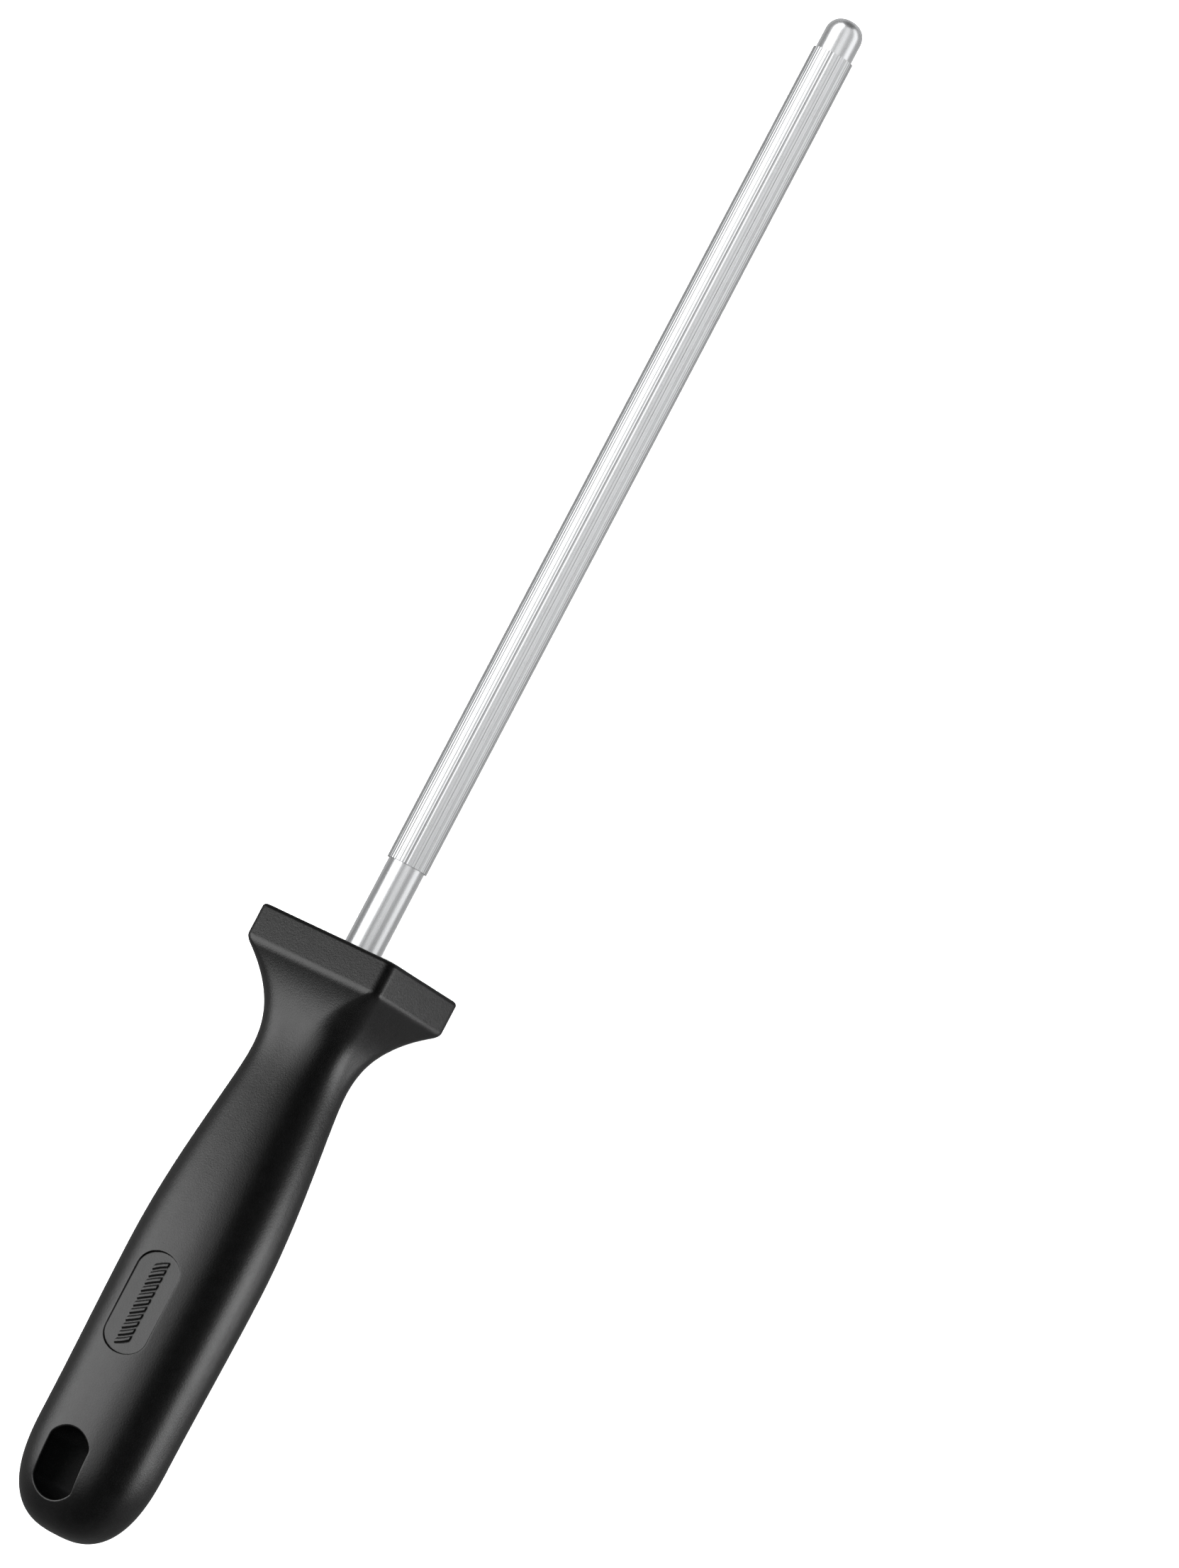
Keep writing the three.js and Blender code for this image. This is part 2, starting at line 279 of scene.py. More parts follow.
def mark_rows():
    """Places across the medallion as shares of its half width, and the share of the relief."""
    rim = [math.sin(math.radians(angle)) for angle in np.linspace(90, 34, 13)]
    end = MARK_HALF_LENGTH / MEDALLION_HALF_WIDTH
    lip = MARK_END_STEP / MEDALLION_HALF_WIDTH
    rows = [(share, 0.0) for share in rim]
    rows += [(end + 3 * lip, 0.0), (end, 0.0), (end - lip, 0.9), (end - 2 * lip, 1.0), (end / 2, 1.0)]
    return np.array(rows + [(0.0, 1.0)] + [(-share, relief) for share, relief in reversed(rows)])


def stations():
    """Distances of the handle's rings, and where the two blocks start in them."""
    flare_start = GUARD_LENGTH + GUARD_BACK_BLEND
    guard_back = GUARD_LENGTH - GUARD_BACK_BLEND
    places = list(np.linspace(GUARD_EDGE_RADIUS + 0.15, guard_back - 0.1, RING_COUNTS["guard"]))
    places += list(np.linspace(guard_back, flare_start, RING_COUNTS["guard_back"]))
    places += list(np.linspace(flare_start, FLARE_END, RING_COUNTS["flare"])[1:])
    places += list(np.linspace(FLARE_END, MEDALLION_BLOCK[0], RING_COUNTS["grip"])[1:])
    medallion_at = len(places) - 1
    medallion_rows = len(mark_columns()) - 1
    places += list(np.linspace(*MEDALLION_BLOCK, medallion_rows + 1)[1:])
    places += list(np.linspace(MEDALLION_BLOCK[1], SLOT_BLOCK[0], RING_COUNTS["shoulder"])[1:])
    slot_at = len(places) - 1
    places += list(np.linspace(*SLOT_BLOCK, SLOT_ROWS + 1)[1:])
    reach = (SLOT_BLOCK[1] - SHOULDER) / (HANDLE_LENGTH - SHOULDER)
    start = math.asin(reach ** (BUTT_POWER / 2))
    for angle in np.linspace(start, math.pi / 2, RING_COUNTS["butt"])[1:-1]:
        places.append(SHOULDER + (HANDLE_LENGTH - SHOULDER) * math.sin(angle) ** (2 / BUTT_POWER))
    places.append(HANDLE_LENGTH - BUTT_TIP_INSET)
    return places, medallion_at, slot_at


def block_loop(row, rows, column, columns):
    """Grid places round a block: along +Y, across the end, back along -Y, across the start."""
    loop = [(row + i, column) for i in range(rows)]
    loop += [(row + rows, column + i) for i in range(columns)]
    loop += [(row + rows - i, column + columns) for i in range(rows)]
    loop += [(row, column + columns - i) for i in range(columns)]
    return loop


SLOT_ARC_POINTS = 200
SLOT_EVEN_POINTS = 1600
SLOT_SMOOTHING = 2.4  # length of outline over which the slot's corners are rounded


def slot_loop(rows, columns):
    """The slot's outline, points (distance, across), in the order of block_loop, and normals."""
    corner = math.asin(SLOT_HALF_WIDTH / SLOT_END_RADIUS)
    shift = SLOT_HALF_LENGTH - SLOT_END_RADIUS
    turn = np.linspace(corner, -corner, SLOT_ARC_POINTS)
    far = np.column_stack((shift + SLOT_END_RADIUS * np.cos(turn), SLOT_END_RADIUS * np.sin(turn)))
    near = -far
    closed = np.vstack((far, near, far[:1]))
    length = np.concatenate(((0,), np.cumsum(np.hypot(*np.diff(closed, axis=0).T))))
    count = SLOT_EVEN_POINTS
    even = np.linspace(0, length[-1], count, endpoint=False)
    outline = np.column_stack([np.interp(even, length, closed[:, axis]) for axis in (0, 1)])
    window = int(SLOT_SMOOTHING / (length[-1] / count))
    kernel = np.hanning(window + 2)[1:-1]
    kernel /= kernel.sum()
    wrapped = np.vstack((outline[-window:], outline, outline[:window]))
    outline = np.column_stack([np.convolve(wrapped[:, axis], kernel, "same") for axis in (0, 1)])
    outline = outline[window:-window]
    bearing = np.arctan2(outline[:, 1], outline[:, 0])
    corner_bearing = math.atan2(SLOT_HALF_WIDTH, shift + SLOT_END_RADIUS * math.cos(corner))
    corners = [
        int(np.argmin(np.abs(np.angle(np.exp(1j * (bearing - target))))))
        for target in (math.pi - corner_bearing, corner_bearing, -corner_bearing, corner_bearing - math.pi)
    ]
    points, normals = [], []
    tangent = np.roll(outline, -1, axis=0) - np.roll(outline, 1, axis=0)
    normal = np.column_stack((-tangent[:, 1], tangent[:, 0]))
    normal /= np.linalg.norm(normal, axis=1)[:, None]
    for side in range(4):
        start, stop = corners[side], corners[(side + 1) % 4]
        stop += count if stop < start else 0
        steps = (rows, columns)[side % 2]
        for place in np.linspace(start, stop, steps, endpoint=False):
            index = int(round(place)) % count
            points.append(outline[index])
            normals.append(normal[index])
    points, normals = np.array(points), np.array(normals)
    outward = np.sign(np.sum(points * normals, axis=1))
    return points + (SLOT_CENTRE, 0.0), normals * outward[:, None]


def medallion_point(column, row, inset):
    """A point of the medallion's grid, from its centre, with its edge set in by inset."""
    half_width = MEDALLION_HALF_WIDTH - inset
    end = MEDALLION_END - inset
    straight = MEDALLION_HALF_LENGTH - MEDALLION_END
    reach = straight + end * math.sqrt(max(0.0, 1 - row * row))
    share = column / MEDALLION_HALF_LENGTH
    across = row * half_width
    row_lean = smoothstep((LEAN_ROW_LIMIT - abs(row)) / LEAN_ROW_FADE)
    column_lean = smoothstep((LEAN_COLUMN_LIMIT - abs(column)) / LEAN_COLUMN_FADE)
    lean = float(row_lean * column_lean)
    return share * reach + math.tan(MARK_SLANT) * across * lean, across


def medallion_loop(inset):
    columns, rows = mark_columns()[:, 0], mark_rows()[:, 0]
    last_column, last_row = len(columns) - 1, len(rows) - 1
    places = block_loop(0, last_column, 0, last_row)
    return np.array([medallion_point(columns[i], rows[k], inset) for i, k in places])


RIM_PROBE = 0.05  # how far each side of a rim the surface's slope is read
RIM_ROUNDS = 4
SURFACE_CROWDING = 0.85  # below 1, rings stand closer together towards the rim


def rim_rings(points, normals, radius, steps):
    """Rings of a rounded rim between the upper surface and a straight wall down from points."""
    slope = np.zeros(len(points))
    for _ in range(RIM_ROUNDS):
        offset = radius * (1 + np.sin(slope))
        edge = points + normals * offset[:, None]
        beyond = edge + normals * RIM_PROBE
        before = edge - normals * RIM_PROBE
        fall = height(before[:, 0], before[:, 1]) - height(beyond[:, 0], beyond[:, 1])
        slope = np.arctan(fall / (2 * RIM_PROBE))
    offset = radius * (1 + np.sin(slope))
    edge = points + normals * offset[:, None]
    centre_z = height(edge[:, 0], edge[:, 1]) - radius * np.cos(slope)
    rings = []
    for step in range(steps + 1):
        turn = (math.pi / 2 - slope) + step / steps * (math.pi / 2 + slope)
        place = points + normals * (radius + radius * np.cos(turn))[:, None]
        rings.append(np.column_stack((place, centre_z + radius * np.sin(turn))))
    return rings


def surface_rings(outer, inner, count):
    """Rings that lead over the upper surface from a block's edge to a rim."""
    rings = []
    for step in range(1, count):
        share = (step / count) ** SURFACE_CROWDING
        flat = outer[:, :2] * (1 - share) + inner[:, :2] * share
        rings.append(np.column_stack((flat, height(flat[:, 0], flat[:, 1]))))
    return rings


def placed(ring, side=1):
    """(distance, across, height) rows as points, on the upper or the lower face."""
    return np.column_stack((-ring[:, 0], ring[:, 1], side * ring[:, 2]))


SLOT_SURFACE_RINGS = 9
SLOT_RIM_STEPS = 8
SLOT_WALL_RINGS = 18


def cut_slot(shell, rings, row):
    """Opens the slot through both wide faces, lines it and returns its wall's points."""
    around = 4 * QUARTER
    columns = 2 * SLOT_MARGIN_COLUMNS
    points, normals = slot_loop(SLOT_ROWS, columns)
    rim = rim_rings(points, normals, SLOT_RIM, SLOT_RIM_STEPS)
    rims = []
    for side, middle in ((1, QUARTER), (-1, 3 * QUARTER)):
        places = block_loop(row, SLOT_ROWS, -SLOT_MARGIN_COLUMNS, columns)
        loop = [rings[j][(middle + side * k) % around] for j, k in places]
        edge = np.array([shell.points[i] for i in loop])
        edge = np.column_stack((-edge[:, 0], edge[:, 1], side * edge[:, 2]))
        for ring in surface_rings(edge, rim[0], SLOT_SURFACE_RINGS) + rim:
            inner = shell.add(placed(ring, side))
            shell.band(*((loop, inner) if side > 0 else (loop[::-1], inner[::-1])))
            loop = inner
        rims.append(loop)
    upper, lower = rims
    wall = rim[-1]
    first = len(shell.points)
    loop = upper
    for share in np.linspace(1, -1, SLOT_WALL_RINGS)[1:-1]:
        inner = shell.add(np.column_stack((-wall[:, 0], wall[:, 1], wall[:, 2] * share)))
        shell.band(loop, inner)
        loop = inner
    shell.band(loop, lower)
    return range(first, len(shell.points))


MEDALLION_SURFACE_RINGS = 6
MEDALLION_RIM_STEPS = 5
MEDALLION_FOOT = ((0.03, 0.16), (0.06, 0.07), (0.13, 0.015))  # inset and lift of the foot's rings
MEDALLION_FLOOR_INSET = 0.22
NORMAL_INSET = 0.4  # between the two outlines whose difference gives the edge's normals


def sink_medallion(shell, rings, row):
    """Sinks the flat-bottomed medallion into the upper face, with its plain mark of bars."""
    around = 4 * QUARTER
    columns, rows = mark_columns(), mark_rows()
    last_column, last_row = len(columns) - 1, len(rows) - 1
    centre = np.array((MEDALLION_CENTRE, 0.0))
    outline = medallion_loop(0.0) + centre
    inward = medallion_loop(NORMAL_INSET) + centre
    normals = outline - inward
    normals /= np.linalg.norm(normals, axis=1)[:, None]
    rim = rim_rings(outline, normals, MEDALLION_RIM, MEDALLION_RIM_STEPS)
    places = block_loop(row, last_column, -MEDALLION_COLUMNS, last_row)
    loop = [rings[j][(QUARTER + k) % around] for j, k in places]
    edge = np.array([shell.points[i] for i in loop]) * (-1, 1, 1)
    floor_z = BELLY_SECTION[1] - MEDALLION_DEPTH
    foot = []
    for inset, lift in MEDALLION_FOOT:
        flat = medallion_loop(inset) + centre
        foot.append(np.column_stack((flat, np.full(len(flat), floor_z + lift))))
    for ring in surface_rings(edge, rim[0], MEDALLION_SURFACE_RINGS) + rim + foot:
        inner = shell.add(placed(ring))
        shell.band(loop, inner)
        loop = inner
    grid = []
    for place, along_share in columns:
        line = []
        for share, across_share in rows:
            along, across = medallion_point(place, share, MEDALLION_FLOOR_INSET)
            lift = MARK_RELIEF * min(along_share, across_share)
            line.append((-(MEDALLION_CENTRE + along), across, floor_z + lift))
        grid.append(shell.add(line))
    shell.band(loop, [grid[j][k] for j, k in block_loop(0, last_column, 0, last_row)])
    for j in range(last_column):
        for k in range(last_row):
            shell.faces.append((grid[j][k], grid[j + 1][k], grid[j + 1][k + 1], grid[j][k + 1]))


GUARD_FACE_INSET = 0.15  # from the rounded edge to the first ring of the flat face
GUARD_EDGE_RINGS = 8
BORE_MIDDLE = 6.0  # where a ring stands part of the way down the bore
SPACE_MOUTH = 0.4  # how much wider than the bore the core's space starts
CORE_SPACE_RINGS = 46


def front_rings():
    """The guard's rounded front edge, its face, the bore and the space for the core."""
    front = []
    for angle in np.radians(np.linspace(90, 0, GUARD_EDGE_RINGS)):
        inset = GUARD_EDGE_RADIUS * (1 - math.sin(angle))
        front.append(full_ring(GUARD_EDGE_RADIUS * (1 - math.cos(angle)), inset))
    face = front[-1]
    face_edge = full_ring(0.0, GUARD_EDGE_RADIUS + GUARD_FACE_INSET)
    front.append(face_edge)
    mouth = circle_ring(0.0, BORE_RADIUS + BORE_LIP, face)
    for share in (0.25, 0.5, 0.75, 0.92, 1.0):
        front.append(face_edge * (1 - share) + mouth * share)
    for angle in np.radians((22, 45, 68, 90)):
        depth = BORE_LIP * (1 - math.cos(angle))
        front.append(circle_ring(depth, BORE_RADIUS + BORE_LIP * (1 - math.sin(angle)), face))
    space_start = CORE_START - CORE_GAP
    front.append(circle_ring(BORE_MIDDLE, BORE_RADIUS, face))
    front.append(circle_ring(space_start, BORE_RADIUS, face))
    front.append(circle_ring(space_start, BORE_RADIUS + SPACE_MOUTH, face))
    for place in np.linspace(space_start, CORE_END + CORE_GAP, CORE_SPACE_RINGS):
        front.append(full_ring(place, CORE_SPACE_INSET))
    return front


def make_handle():
    """The handle, and which of its two materials each face takes: the slot's wall has its own, a less
    shiny copy that paints shade into the slot.
    """
    shell = Shell()
    around = 4 * QUARTER
    places, medallion_at, slot_at = stations()
    rings = [shell.add(full_ring(place)) for place in places]
    slot_columns = range(-SLOT_MARGIN_COLUMNS, SLOT_MARGIN_COLUMNS)
    medallion_rows = len(mark_columns()) - 1
    removed = set()
    for j in range(slot_at, slot_at + SLOT_ROWS):
        removed |= {(j, QUARTER + k) for k in slot_columns}
        removed |= {(j, 3 * QUARTER + k) for k in slot_columns}
    for j in range(medallion_at, medallion_at + medallion_rows):
        removed |= {(j, QUARTER + k) for k in range(-MEDALLION_COLUMNS, MEDALLION_COLUMNS)}
    for j in range(len(rings) - 1):
        for k in range(around):
            if (j, k) not in removed:
                n = (k + 1) % around
                shell.faces.append((rings[j][k], rings[j + 1][k], rings[j + 1][n], rings[j][n]))
    shell.cap(rings[-1][::-1], (-HANDLE_LENGTH, 0.0, 0.0))
    wall = cut_slot(shell, rings, slot_at)
    sink_medallion(shell, rings, medallion_at)

    loop = rings[0]
    for ring in front_rings():
        inner = shell.add(ring)
        shell.band(loop, inner)
        loop = inner
    shell.cap(loop, (-(CORE_END + CORE_GAP), 0.0, 0.0))
    return shell, lambda face: int(any(point in wall for point in face))


# Rod ------------------------------------------------------------------------------------

RIB_POINTS = 16  # points round each rib
GROOVE_SHARPNESS = 1.35  # above 1, the ribs have flat crests
TANG_CHAMFER = 0.5
SHOULDER_CHAMFER = 0.3
# Places along the shoulder at each end of the ribs, and shares of its rise there.
RIB_SHOULDER = ((0.0, 0.0), (0.004, 0.5), (0.008, 1.0), (0.02, 1.0), (0.2, 1.0))
RIBBED_RINGS = 26
DOME_RINGS = 18
DOME_LAST_ANGLE = 88


def rod_ring(place, radius, depth=0.0, flat=None):
    """A ring of the rod: depth cuts the grooves between the ribs, flat limits its height."""
    angle = np.arange(RIB_COUNT * RIB_POINTS) / (RIB_COUNT * RIB_POINTS) * 2 * math.pi
    phase = (angle * RIB_COUNT) % (2 * math.pi)
    wave = (1 - np.cos(phase)) / 2
    groove = np.clip(wave * GROOVE_SHARPNESS - (GROOVE_SHARPNESS - 1), 0.0, 1.0)
    reach = radius - depth * groove
    if flat is not None:
        reach = np.minimum(reach, flat / np.maximum(np.abs(np.sin(angle)), 1e-6))
    return np.column_stack((np.full(len(angle), place), reach * np.cos(angle), reach * np.sin(angle)))


def tang_rings():
    """From the tang's inner end out to the guard's face."""
    rings = [
        rod_ring(-TANG_LENGTH, TANG_RADIUS - TANG_CHAMFER),
        rod_ring(-TANG_LENGTH + TANG_CHAMFER, TANG_RADIUS),
    ]
    features = [(start, TANG_GROOVE_LENGTH, TANG_GROOVE_RADIUS, None) for start in TANG_GROOVES]
    features.append((TANG_FLATS[0], TANG_FLATS[1] - TANG_FLATS[0], TANG_RADIUS, TANG_FLAT_HALF))
    for start, length, radius, flat in sorted(features, reverse=True):
        inner, outer = -(start + length), -start
        rings.append(rod_ring(inner, TANG_RADIUS))
        rings.append(rod_ring(inner, radius, flat=flat))
        rings.append(rod_ring(outer, radius, flat=flat))
        rings.append(rod_ring(outer, TANG_RADIUS))
    rings.append(rod_ring(-TANG_SHOULDER, TANG_RADIUS))
    rings.append(rod_ring(-TANG_SHOULDER, SMOOTH_RADIUS - SHOULDER_CHAMFER))
    rings.append(rod_ring(-TANG_SHOULDER + SHOULDER_CHAMFER, SMOOTH_RADIUS))
    return rings


def make_rod():
    """The rod, and which of its two materials each face takes: the ribbed part has its own."""
    shell = Shell()
    rings = tang_rings()
    start, end = NECK_LENGTH, NECK_LENGTH + RIBBED_LENGTH
    neck = (-TANG_SHOULDER + 1, 0, start / 2, start - 0.2, start - 0.02)
    rings += [rod_ring(place, SMOOTH_RADIUS) for place in neck]
    step = RIBBED_RADIUS - SMOOTH_RADIUS
    ribbed_from = len(rings)
    for along, rise in RIB_SHOULDER:
        rings.append(rod_ring(start + along, SMOOTH_RADIUS + step * rise, RIB_DEPTH * rise ** 2))
    for place in np.linspace(start + 1, end - 1, RIBBED_RINGS):
        rings.append(rod_ring(place, RIBBED_RADIUS, RIB_DEPTH))
    for along, rise in reversed(RIB_SHOULDER):
        rings.append(rod_ring(end - along, SMOOTH_RADIUS + step * rise, RIB_DEPTH * rise ** 2))
    ribbed_to = len(rings)
    dome_start = ROD_EXPOSED - TIP_DOME_HEIGHT
    tip = (end + 0.02, end + 0.2, (end + dome_start) / 2, dome_start - 0.4)
    rings += [rod_ring(place, SMOOTH_RADIUS) for place in tip]
    for angle in np.radians(np.linspace(0, DOME_LAST_ANGLE, DOME_RINGS)):
        place = dome_start + TIP_DOME_HEIGHT * math.sin(angle)
        rings.append(rod_ring(place, SMOOTH_RADIUS * math.cos(angle) ** TIP_FULLNESS))
    loops = [shell.add(ring) for ring in rings]
    for inner, outer in zip(loops, loops[1:]):
        shell.band(outer, inner)
    shell.cap(loops[0][::-1], (-TANG_LENGTH, 0.0, 0.0))
    shell.cap(loops[-1], (ROD_EXPOSED, 0.0, 0.0))
    first, last = loops[ribbed_from][0], loops[ribbed_to - 1][-1]
    return shell, lambda face: int(all(first <= i <= last for i in face))


# Materials ------------------------------------------------------------------------------

class Nodes:
    """A short way to write a material's node tree."""

    def __init__(self, name):
        self.material = bpy.data.materials.new(name)
        self.material.use_nodes = True
        self.tree = self.material.node_tree
        self.tree.nodes.clear()
        self.output = self.tree.nodes.new("ShaderNodeOutputMaterial")
        self.shader = self.tree.nodes.new("ShaderNodeBsdfPrincipled")
        self.link(self.shader.outputs[0], self.output.inputs["Surface"])

    def link(self, source, target):
        self.tree.links.new(source, target)

    def node(self, kind, inputs=None, **settings):
        made = self.tree.nodes.new(kind)
        for key, value in settings.items():
            setattr(made, key, value)
        for key, value in (inputs or {}).items():
            if isinstance(value, bpy.types.NodeSocket):
                self.link(value, made.inputs[key])
            else:
                made.inputs[key].default_value = value
        return made

    def place(self, scale):
        """The point in the frame, in millimetres, times scale."""
        spot = self.node("ShaderNodeTexCoord").outputs["Object"]
        sized = tuple(s / MM for s in scale)
        return self.node("ShaderNodeMapping", {"Vector": spot, "Scale": sized}).outputs[0]

    def noise(self, place, scale, detail=2.0, rough=0.5):
        inputs = {"Vector": place, "Scale": scale, "Detail": detail, "Roughness": rough}
        return self.node("ShaderNodeTexNoise", inputs).outputs["Fac"]

    def ranged(self, value, low, high, to_low, to_high):
        inputs = {"Value": value, "From Min": low, "From Max": high, "To Min": to_low, "To Max": to_high}
        return self.node("ShaderNodeMapRange", inputs).outputs[0]

    def maths(self, operation, first, second):
        return self.node("ShaderNodeMath", {0: first, 1: second}, operation=operation).outputs[0]

    def mix_colour(self, share, first, second):
        made = self.node("ShaderNodeMix", data_type="RGBA")
        made.inputs["Factor"].default_value = 0.0
        self.link(share, made.inputs["Factor"])
        made.inputs[6].default_value = (*first, 1.0)
        made.inputs[7].default_value = (*second, 1.0)
        return made.outputs[2]

    def bump(self, layers):
        """Stacks (height, distance in millimetres, strength) layers into one normal."""
        normal = None
        for value, distance, strength in layers:
            inputs = {"Height": value, "Distance": distance * MM, "Strength": strength}
            if normal is not None:
                inputs["Normal"] = normal
            normal = self.node("ShaderNodeBump", inputs).outputs[0]
        self.link(normal, self.shader.inputs["Normal"])

    def set(self, **values):
        for key, value in values.items():
            socket = self.shader.inputs[key.replace("_", " ")]
            if isinstance(value, bpy.types.NodeSocket):
                self.link(value, socket)
            else:
                socket.default_value = value


def plastic_material(name, rough_low, rough_high, specular):
    """Black moulded plastic with a fine grain, between two roughnesses."""
    nodes = Nodes(name)
    place = nodes.place((1, 1, 1))
    grain = nodes.noise(place, 2.3, 3.0, 0.6)
    fine = nodes.noise(place, 6.0, 2.0, 0.6)
    waves = nodes.noise(place, 0.11, 2.0, 0.5)
    blotch = nodes.noise(place, 0.35, 4.0, 0.6)
    share = nodes.ranged(blotch, 0.35, 0.65, 0, 1)
    colour = nodes.mix_colour(share, (0.0022, 0.0022, 0.0023), (0.0034, 0.0034, 0.0036))
    rough = nodes.ranged(nodes.maths("ADD", grain, blotch), 0.7, 1.3, rough_low, rough_high)
    nodes.set(Base_Color=colour, Roughness=rough, IOR=1.5, Specular_IOR_Level=specular)
    nodes.bump([(waves, 0.25, 0.2), (grain, 0.1, 0.38), (fine, 0.03, 0.3)])
    return nodes.material


def steel_material(name, rough_low, rough_high, line_strength, darkest_painted_shade):
    """Chromed steel with fine lengthwise polishing lines, and painted shade: darker lengthwise streaks in
    its colour that stand in for the shade between the ribs.
    """
    nodes = Nodes(name)
    lines = nodes.noise(nodes.place((0.02, 1, 1)), 7.0, 3.0, 0.65)
    cloud = nodes.noise(nodes.place((0.3, 1, 1)), 0.5, 3.0, 0.55)
    specks = nodes.noise(nodes.place((1, 1, 1)), 3.5, 2.0, 0.6)
    # Painted shade: darker lengthwise streaks in the base colour, standing in for the shade in the grooves
    # between the ribs.
    painted_groove_shade = nodes.noise(nodes.place((0.0005, 1, 1)), 1.5, 3.0, 0.7)
    light = nodes.ranged(cloud, 0.35, 0.65, 0.97, 1.0)
    share = nodes.maths("MULTIPLY", light, nodes.ranged(painted_groove_shade, 0.38, 0.5, darkest_painted_shade, 1.0))
    colour = nodes.mix_colour(share, (0.0, 0.0, 0.0), (0.79, 0.8, 0.81))
    rough = nodes.ranged(nodes.maths("ADD", lines, cloud), 0.75, 1.25, rough_low, rough_high)
    nodes.set(Base_Color=colour, Metallic=1.0, Roughness=rough)
    nodes.bump([(lines, 0.01, line_strength), (specks, 0.004, 0.05)])
    return nodes.material


def core_material():
    nodes = Nodes("core_plastic")
    place = nodes.place((1, 1, 1))
    blotch = nodes.noise(place, 0.3, 4.0, 0.6)
    grain = nodes.noise(place, 1.5, 3.0, 0.6)
    share = nodes.ranged(blotch, 0.35, 0.65, 0, 1)
    colour = nodes.mix_colour(share, (0.035, 0.035, 0.036), (0.05, 0.05, 0.051))
    nodes.set(Base_Color=colour, Roughness=nodes.ranged(grain, 0.3, 0.7, 0.55, 0.7))
    nodes.bump([(grain, 0.08, 0.3)])
    return nodes.material


def floor_material():
    nodes = Nodes("pale_floor")
    cloud = nodes.noise(nodes.place((0.01, 0.01, 0.01)), 1.2, 3.0, 0.5)
    share = nodes.ranged(cloud, 0.3, 0.7, 0, 1)
    colour = nodes.mix_colour(share, (0.84, 0.84, 0.84), (0.86, 0.86, 0.86))
    nodes.set(Base_Color=colour, Roughness=0.8, Specular_IOR_Level=0.1)
    return nodes.material


# Build ----------------------------------------------------------------------------------

plastic_material("handle_plastic", 0.32, 0.37, 0.5)
# Painted shade: the slot's wall takes a less shiny, rougher copy of the handle's plastic, so that the slot
# shows as dark as a recess in shade.
plastic_material("slot_painted_shade_plastic", 0.5, 0.6, 0.1)
# The last number is how dark the painted shade streaks get: faint on the smooth steel, strong on the
# ribbed part.
steel_material("polished_steel", 0.26, 0.3, 0.2, 0.95)
steel_material("ribbed_steel", 0.26, 0.32, 0.25, 0.6)
core_plastic = core_material()
floor_look = floor_material()

handle_shell, handle_material_of = make_handle()
handle = handle_shell.build("handle_moulding", ["handle_plastic", "slot_painted_shade_plastic"], handle_material_of)
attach(handle, "root")
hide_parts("handle")

rod_shell, rod_material_of = make_rod()
rod = rod_shell.build("sharpening_rod", ["polished_steel", "ribbed_steel"], rod_material_of)
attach(rod, "root")
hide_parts("steel_rod")

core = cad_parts["handle_core"]
core.data.materials.clear()
core.data.materials.append(core_plastic)

# Camera ---------------------------------------------------------------------------------
# The camera looks at the wide upper face and the narrow side face, a little from the butt's
# end, and is rolled so that the rod points up and to the right.

VIEW_TURN = math.radians(34.9)  # from straight above towards the side face
VIEW_TILT = math.radians(4.7)  # towards the butt
VIEW_ROLL = math.radians(27.7)
VIEW_DISTANCE = 2.588
VIEW_LENS = 250.6
VIEW_SENSOR = 36
VIEW_CLIP = (0.05, 50)
AIM_ALONG = 0.0607  # from the guard's face towards the tip
AIM_BESIDE = 0.0293

along_rod = Vector((1, 0, 0))
over_rod = Vector((0, -math.sin(VIEW_TURN), math.cos(VIEW_TURN)))
beside_rod = Vector((0, -math.cos(VIEW_TURN), -math.sin(VIEW_TURN)))
to_camera = over_rod * math.cos(VIEW_TILT) - along_rod * math.sin(VIEW_TILT)
rod_in_view = along_rod * math.cos(VIEW_TILT) + over_rod * math.sin(VIEW_TILT)
view_right = rod_in_view * math.sin(VIEW_ROLL) + beside_rod * math.cos(VIEW_ROLL)
view_up = rod_in_view * math.cos(VIEW_ROLL) - beside_rod * math.sin(VIEW_ROLL)

camera_data = bpy.data.cameras.new("camera")
camera_data.lens = VIEW_LENS
camera_data.sensor_width = VIEW_SENSOR
camera_data.clip_start, camera_data.clip_end = VIEW_CLIP
camera = bpy.data.objects.new("camera", camera_data)
bpy.context.scene.collection.objects.link(camera)
aim = Vector((GUARD_FACE_X + AIM_ALONG, 0, AXIS_Z)) + beside_rod * AIM_BESIDE
rotation = Matrix((view_right, view_up, to_camera)).transposed()
camera.matrix_world = Matrix.Translation(aim + to_camera * VIEW_DISTANCE) @ rotation.to_4x4()
bpy.context.scene.camera = camera


# Floor and light ------------------------------------------------------------------------
# Light directions are turned round the rod's axis from the camera's side, in degrees, and are
# positive towards the right of the picture. A mirror-like face that is turned by half such an
# angle shows the panel there. Each panel lights one piece only.

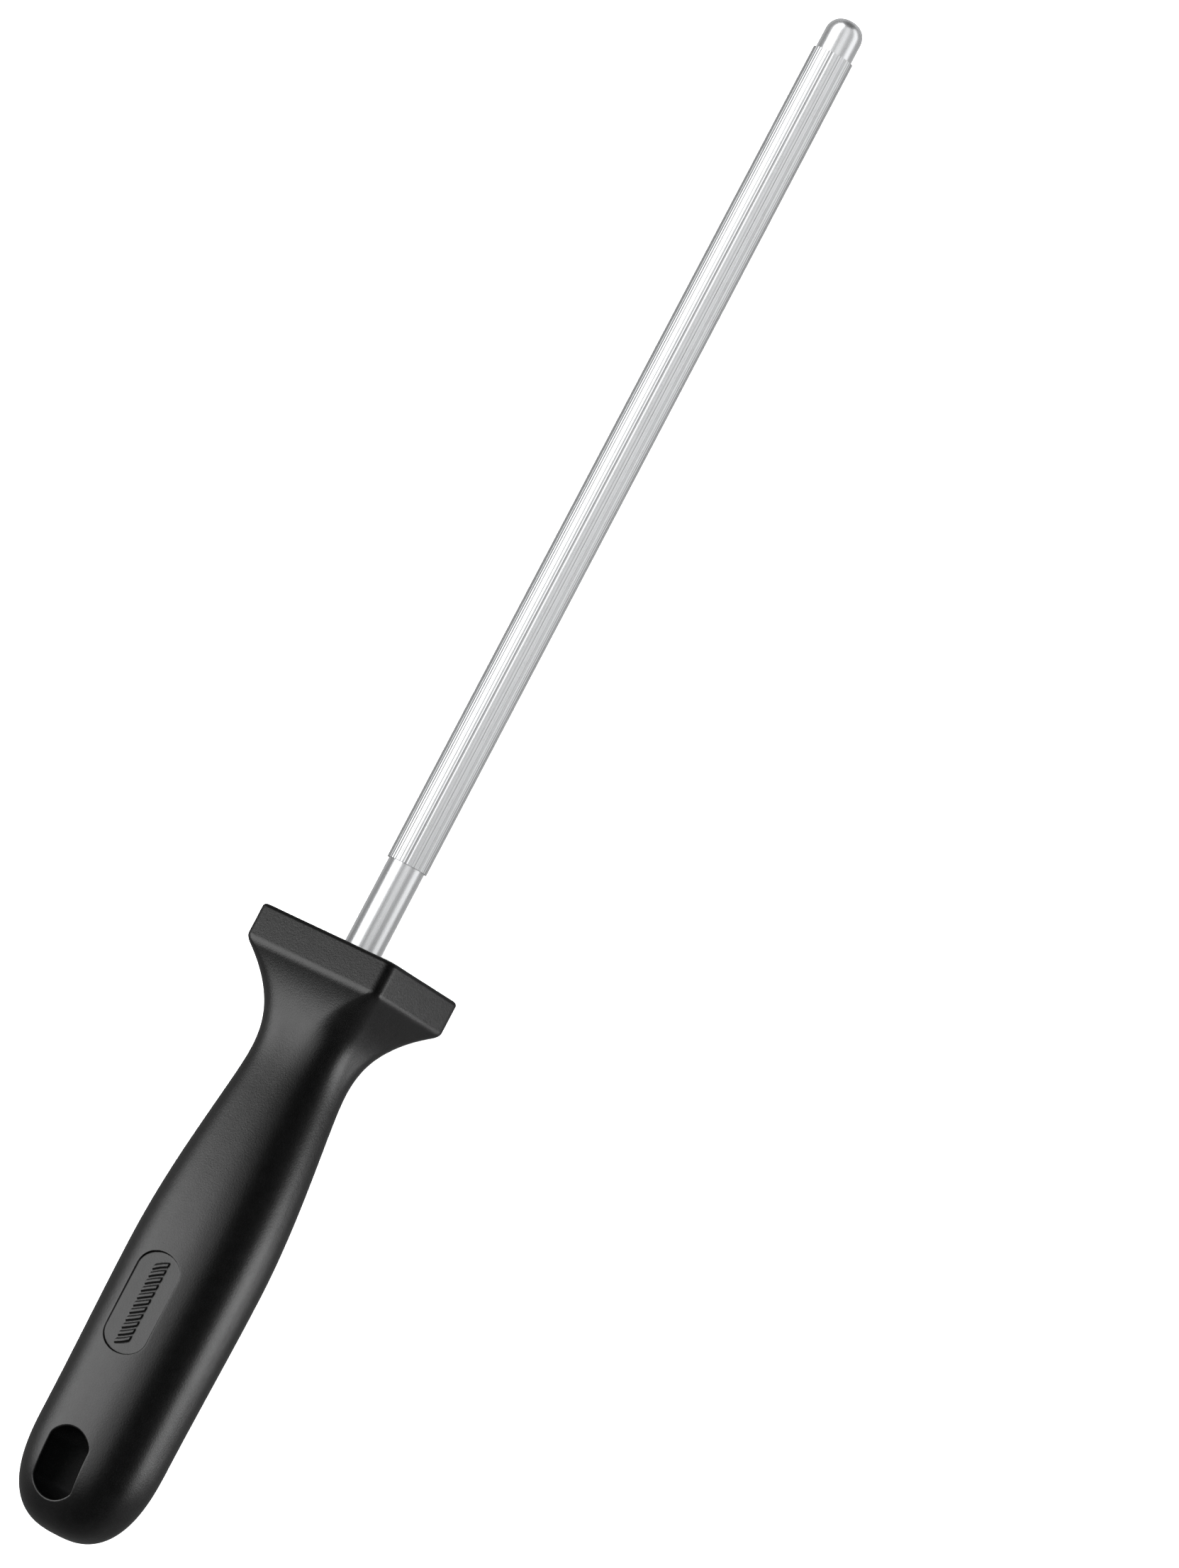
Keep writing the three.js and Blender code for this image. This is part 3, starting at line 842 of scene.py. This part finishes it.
ROD_PANELS = (  # from, to, radiance
    (-82, -32, 2.4), (-32, -3, 0.52), (-3, 27, 0.98), (27, 59, 0.46), (59, 94, 1.12),
    (94, 142, 0.22), (142, 180, 0.4), (180, 234, 0.3), (234, 278, 0.12),
)
ROD_PANEL_DISTANCE = 0.3
HANDLE_PANELS = (  # direction at the butt's end, at the guard's end, breadth, radiance, two ends
    (-76, -76, 54, 3.4, -0.285, -0.045),
    (-36, -36, 26, 1.5, -0.285, -0.045),
    (90, 84, 36, 4.6, -0.195, -0.05),
)
HANDLE_PANEL_DISTANCE = 0.35
ROD_PANEL_OVERHANG = 0.6  # past the tip, for the light that the tip's dome shows
FLOOR_PANEL_BREADTH = 75
FLOOR_PANEL_DISTANCE = 1.6
FLOOR_PANEL_REACH = (-1.2, 1.2)
FLOOR_RADIANCE = 12.0
FLOOR_HALF = 6.0
WORLD_AWAY = 0.2  # brightness of the world away from the camera's side
WORLD_TOWARDS = 0.05


def make_floor():
    """A floor that isn't seen in reflections and casts no shadow."""
    mesh = bpy.data.meshes.new("floor")
    corners = [(x * FLOOR_HALF, y * FLOOR_HALF, 0) for x, y in ((-1, -1), (1, -1), (1, 1), (-1, 1))]
    mesh.from_pydata(corners, [], [(0, 1, 2, 3)])
    mesh.materials.append(floor_look)
    floor = bpy.data.objects.new("floor", mesh)
    bpy.context.scene.collection.objects.link(floor)
    floor.visible_glossy = False
    floor.visible_shadow = False
    return floor


def beside(angle, distance, along):
    """A point beside the rod's axis."""
    turn = math.radians(angle)
    direction = over_rod * math.cos(turn) + beside_rod * math.sin(turn)
    return Vector((along, 0, AXIS_Z)) + direction * distance


def soft_light(name, start, end, width, radiance, receivers):
    """A panel from start to end that faces the rod's axis and lights some of the pieces."""
    length = (end - start).length
    data = bpy.data.lights.new(name, "AREA")
    data.shape = "RECTANGLE"
    data.size = width
    data.size_y = length
    data.energy = radiance * math.pi * width * length
    light = bpy.data.objects.new(name, data)
    middle = (start + end) / 2
    long_side = (end - start).normalized()
    outward = middle - Vector((middle.x, 0, AXIS_Z))
    outward = (outward - long_side * outward.dot(long_side)).normalized()
    facing = Matrix((long_side.cross(outward), long_side, outward)).transposed()
    light.matrix_world = Matrix.Translation(middle) @ facing.to_4x4()
    light.visible_camera = False
    bpy.context.scene.collection.objects.link(light)
    lit = bpy.data.collections.new(name)
    for piece in receivers:
        lit.objects.link(piece)
    light.light_linking.receiver_collection = lit


def panel(name, angles, breadth, distance, reach, radiance, receivers):
    """A soft light by its angles, its breadth in degrees and its two ends along the rod."""
    start, end = (beside(angle, distance, along) for angle, along in zip(angles, reach))
    width = 2 * distance * math.tan(math.radians(breadth / 2))
    soft_light(name, start, end, width, radiance, receivers)


def make_world():
    """Dim all round, and darkest towards the camera's side."""
    world = bpy.data.worlds.new("studio")
    world.use_nodes = True
    tree = world.node_tree
    spot = tree.nodes.new("ShaderNodeTexCoord")
    facing = tree.nodes.new("ShaderNodeVectorMath")
    facing.operation = "DOT_PRODUCT"
    facing.inputs[1].default_value = over_rod
    level = tree.nodes.new("ShaderNodeMapRange")
    level.interpolation_type = "SMOOTHSTEP"
    level.inputs["From Min"].default_value = -0.6
    level.inputs["From Max"].default_value = 0.9
    level.inputs["To Min"].default_value = WORLD_AWAY
    level.inputs["To Max"].default_value = WORLD_TOWARDS
    tree.links.new(spot.outputs["Generated"], facing.inputs[0])
    tree.links.new(facing.outputs["Value"], level.inputs["Value"])
    tree.links.new(level.outputs[0], tree.nodes["Background"].inputs["Color"])
    bpy.context.scene.world = world


floor = make_floor()
make_world()
rod_reach = (GUARD_FACE_X, ROD_HIGH.x + ROD_PANEL_OVERHANG)
for low, high, radiance in ROD_PANELS:
    middle = (low + high) / 2
    panel("rod_panel", (middle, middle), high - low, ROD_PANEL_DISTANCE, rod_reach, radiance, [rod])
for butt_side, guard_side, breadth, radiance, *reach in HANDLE_PANELS:
    sides = (butt_side, guard_side)
    panel("handle_panel", sides, breadth, HANDLE_PANEL_DISTANCE, reach, radiance, [handle])
overhead = (0, 0)
panel(
    "floor_panel", overhead, FLOOR_PANEL_BREADTH, FLOOR_PANEL_DISTANCE, FLOOR_PANEL_REACH,
    FLOOR_RADIANCE, [floor],
)
bpy.context.scene.view_settings.view_transform = "Standard"
